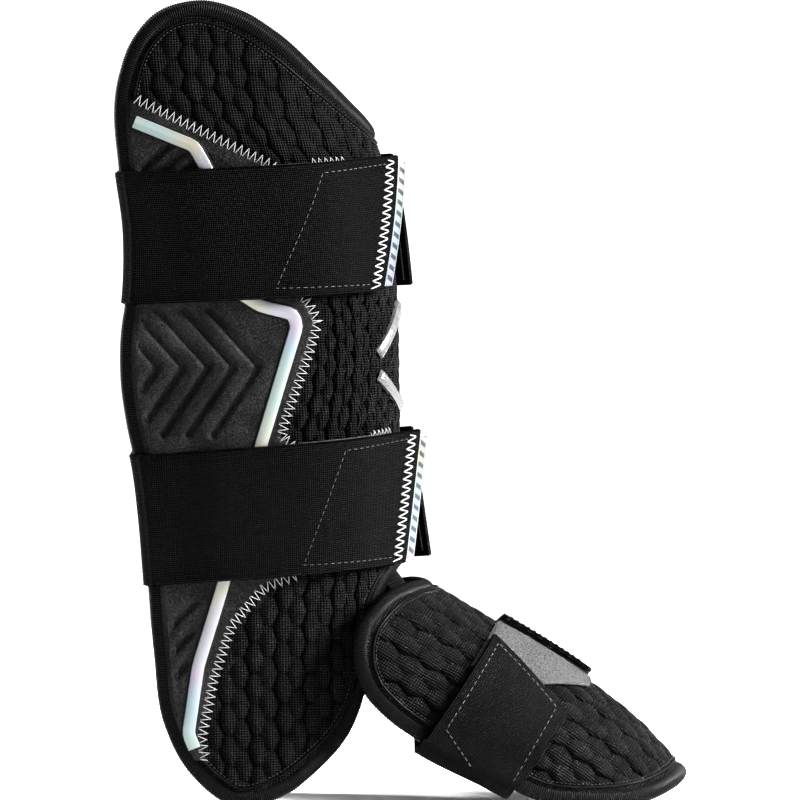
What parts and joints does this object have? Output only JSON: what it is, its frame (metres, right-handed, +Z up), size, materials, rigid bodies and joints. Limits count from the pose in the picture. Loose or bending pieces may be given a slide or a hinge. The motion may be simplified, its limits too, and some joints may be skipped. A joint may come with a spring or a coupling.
{
  "type": "baseball leg guard",
  "caption": "Padded batter's leg guard, open at the back, with two wide elastic straps and a hinged instep guard held by its own strap.",
  "frame": {"origin": "on the floor under the middle of the whole guard's box", "axes": "+X to the toes, +Z up the shin, -Y the near (outer) side of the leg"},
  "size_m": [0.2855, 0.13, 0.3987],
  "materials": {
    "knit_pad": "black quilted knit over foam",
    "panel_foam": "charcoal moulded foam with a suede touch",
    "shell_plastic": "matt moulded shell",
    "lining": "brushed wicking lining",
    "edge_tape": "ribbed binding tape",
    "strap_elastic": "woven elastic",
    "hook_tape": "hook tape",
    "loop_pile": "grey loop pile",
    "pearl_film": "pearly silver film",
    "badge_plastic": "bright silver"
  },
  "bodies": {
    "leg_guard": {"ankle_connector": "strap_elastic", "front_badge_lower_far": "badge_plastic", "front_badge_lower_near": "badge_plastic", "front_badge_upper_far": "badge_plastic", "front_badge_upper_near": "badge_plastic", "leg_edge_binding": "edge_tape", "leg_front_pad": "knit_pad", "leg_hard_shell": "shell_plastic", "leg_inner_liner": "lining", "leg_side_panel_far": "panel_foam", "leg_side_panel_near": "panel_foam", "lower_loop_patch_far": "loop_pile", "lower_loop_patch_near": "loop_pile", "lower_strap_band": "strap_elastic", "stripe_far": "pearl_film", "stripe_near": "pearl_film", "upper_loop_patch_far": "loop_pile", "upper_loop_patch_near": "loop_pile", "upper_strap_band": "strap_elastic"},
    "foot_guard": {"foot_edge_binding": "edge_tape", "foot_hard_shell": "shell_plastic", "foot_inner_liner": "lining", "foot_loop_patch": "loop_pile", "foot_pad": "knit_pad", "foot_strap_band": "strap_elastic"},
    "upper_strap_near_end": {"upper_strap_label": "pearl_film", "upper_strap_near_hook": "hook_tape", "upper_strap_near_tab": "strap_elastic"},
    "upper_strap_far_end": {"upper_strap_far_hook": "hook_tape", "upper_strap_far_tab": "strap_elastic"},
    "lower_strap_near_end": {"lower_strap_label": "pearl_film", "lower_strap_near_hook": "hook_tape", "lower_strap_near_tab": "strap_elastic"},
    "lower_strap_far_end": {"lower_strap_far_hook": "hook_tape", "lower_strap_far_tab": "strap_elastic"},
    "foot_strap_near_end": {"foot_strap_near_hook": "hook_tape", "foot_strap_near_tab": "strap_elastic"},
    "foot_strap_far_end": {"foot_strap_far_hook": "hook_tape", "foot_strap_far_tab": "strap_elastic"}
  },
  "joints": [
    {"name": "foot_tilt", "type": "hinge", "parent": "leg_guard", "child": "foot_guard", "pos_m": [0, 0, 0.11], "axis": [0, -1, 0], "range_deg": [-20, 30]},
    {"name": "upper_near_peel", "type": "hinge", "parent": "leg_guard", "child": "upper_strap_near_end", "pos_m": [-0.11909, -0.0569, 0.28281], "axis": [0.1084, 0.0455, -0.9931], "range_deg": [0, 110]},
    {"name": "upper_far_peel", "type": "hinge", "parent": "leg_guard", "child": "upper_strap_far_end", "pos_m": [-0.11909, 0.0569, 0.28281], "axis": [-0.1084, 0.0455, 0.9931], "range_deg": [0, 110]},
    {"name": "lower_near_peel", "type": "hinge", "parent": "leg_guard", "child": "lower_strap_near_end", "pos_m": [-0.11407, -0.04864, 0.14294], "axis": [0.0247, 0.0656, -0.9975], "range_deg": [0, 110]},
    {"name": "lower_far_peel", "type": "hinge", "parent": "leg_guard", "child": "lower_strap_far_end", "pos_m": [-0.11407, 0.04864, 0.14294], "axis": [-0.0247, 0.0656, 0.9975], "range_deg": [0, 110]},
    {"name": "foot_near_peel", "type": "hinge", "parent": "foot_guard", "child": "foot_strap_near_end", "pos_m": [0.04283, -0.05808, 0.03235], "axis": [0.8559, 0.0959, -0.5082], "range_deg": [0, 110]},
    {"name": "foot_far_peel", "type": "hinge", "parent": "foot_guard", "child": "foot_strap_far_end", "pos_m": [0.04283, 0.05808, 0.03235], "axis": [-0.8559, 0.0959, 0.5082], "range_deg": [0, 110]}
  ]
}
